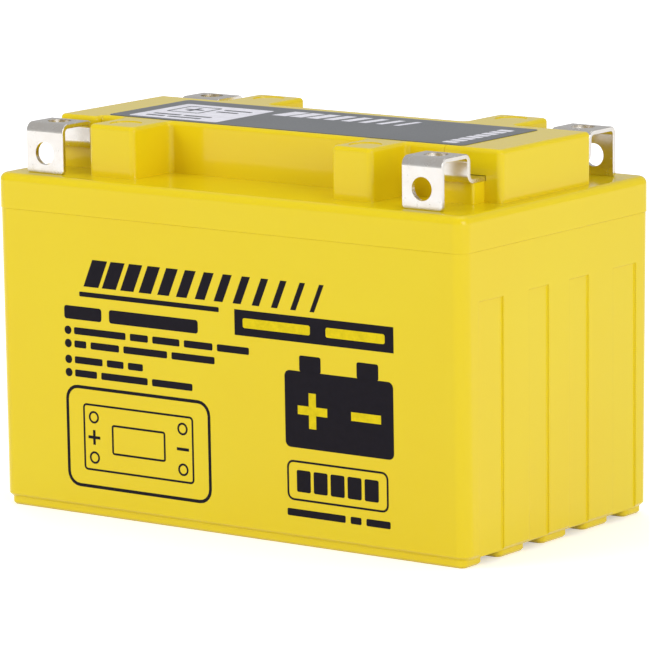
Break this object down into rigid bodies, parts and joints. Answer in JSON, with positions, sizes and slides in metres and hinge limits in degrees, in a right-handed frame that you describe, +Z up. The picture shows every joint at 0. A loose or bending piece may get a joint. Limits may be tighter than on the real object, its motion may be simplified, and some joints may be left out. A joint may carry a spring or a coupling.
{
  "type": "motorcycle battery",
  "caption": "Sealed six-cell motorcycle battery: ribbed yellow case, welded lid with raised vent block, folded-strip bolt terminals at the corners, plate groups inside.",
  "frame": {"origin": "centre of the footprint, at the underside of the foot rails", "axes": "+X along the long side to the right of the front, +Y towards the back, +Z up"},
  "size_m": [0.152, 0.0888, 0.105],
  "materials": {
    "yellow_plastic": "gloss",
    "label_film": "satin",
    "plated_strip": "bright plated",
    "lead": "dull",
    "positive_plate": "dull",
    "glass_mat": "matte",
    "seal_rubber": "matte",
    "porous_disc": "matte"
  },
  "bodies": {
    "battery": {"back_left_post": "lead", "back_left_post_seal": "seal_rubber", "back_left_terminal": "plated_strip", "back_right_post": "lead", "back_right_post_seal": "seal_rubber", "back_right_terminal": "plated_strip", "case": "yellow_plastic", "flame_arrestor_left": "porous_disc", "flame_arrestor_right": "porous_disc", "front_left_post": "lead", "front_left_post_seal": "seal_rubber", "front_left_terminal": "plated_strip", "front_right_post": "lead", "front_right_post_seal": "seal_rubber", "front_right_terminal": "plated_strip", "lid": "yellow_plastic", "negative_bus_bar": "lead", "negative_group_1": "lead", "negative_group_2": "lead", "negative_group_3": "lead", "negative_group_4": "lead", "negative_group_5": "lead", "negative_group_6": "lead", "positive_bus_bar": "lead", "positive_group_1": "positive_plate", "positive_group_2": "positive_plate", "positive_group_3": "positive_plate", "positive_group_4": "positive_plate", "positive_group_5": "positive_plate", "positive_group_6": "positive_plate", "separator_mat_1": "glass_mat", "separator_mat_2": "glass_mat", "separator_mat_3": "glass_mat", "separator_mat_4": "glass_mat", "separator_mat_5": "glass_mat", "separator_mat_6": "glass_mat", "top_label": "label_film", "vent_block": "yellow_plastic", "vent_cover": "yellow_plastic"},
    "valve_1": {"valve_cap_1": "seal_rubber"},
    "valve_2": {"valve_cap_2": "seal_rubber"},
    "valve_3": {"valve_cap_3": "seal_rubber"},
    "valve_4": {"valve_cap_4": "seal_rubber"},
    "valve_5": {"valve_cap_5": "seal_rubber"},
    "valve_6": {"valve_cap_6": "seal_rubber"}
  },
  "joints": [
    {"name": "valve_1_lift", "type": "slide", "parent": "battery", "child": "valve_1", "axis": [0, 0, 1], "range_m": [0, 0.0006], "stiffness_N_per_m": 400, "springref_m": -0.0004},
    {"name": "valve_2_lift", "type": "slide", "parent": "battery", "child": "valve_2", "axis": [0, 0, 1], "range_m": [0, 0.0006], "stiffness_N_per_m": 400, "springref_m": -0.0004},
    {"name": "valve_3_lift", "type": "slide", "parent": "battery", "child": "valve_3", "axis": [0, 0, 1], "range_m": [0, 0.0006], "stiffness_N_per_m": 400, "springref_m": -0.0004},
    {"name": "valve_4_lift", "type": "slide", "parent": "battery", "child": "valve_4", "axis": [0, 0, 1], "range_m": [0, 0.0006], "stiffness_N_per_m": 400, "springref_m": -0.0004},
    {"name": "valve_5_lift", "type": "slide", "parent": "battery", "child": "valve_5", "axis": [0, 0, 1], "range_m": [0, 0.0006], "stiffness_N_per_m": 400, "springref_m": -0.0004},
    {"name": "valve_6_lift", "type": "slide", "parent": "battery", "child": "valve_6", "axis": [0, 0, 1], "range_m": [0, 0.0006], "stiffness_N_per_m": 400, "springref_m": -0.0004}
  ]
}
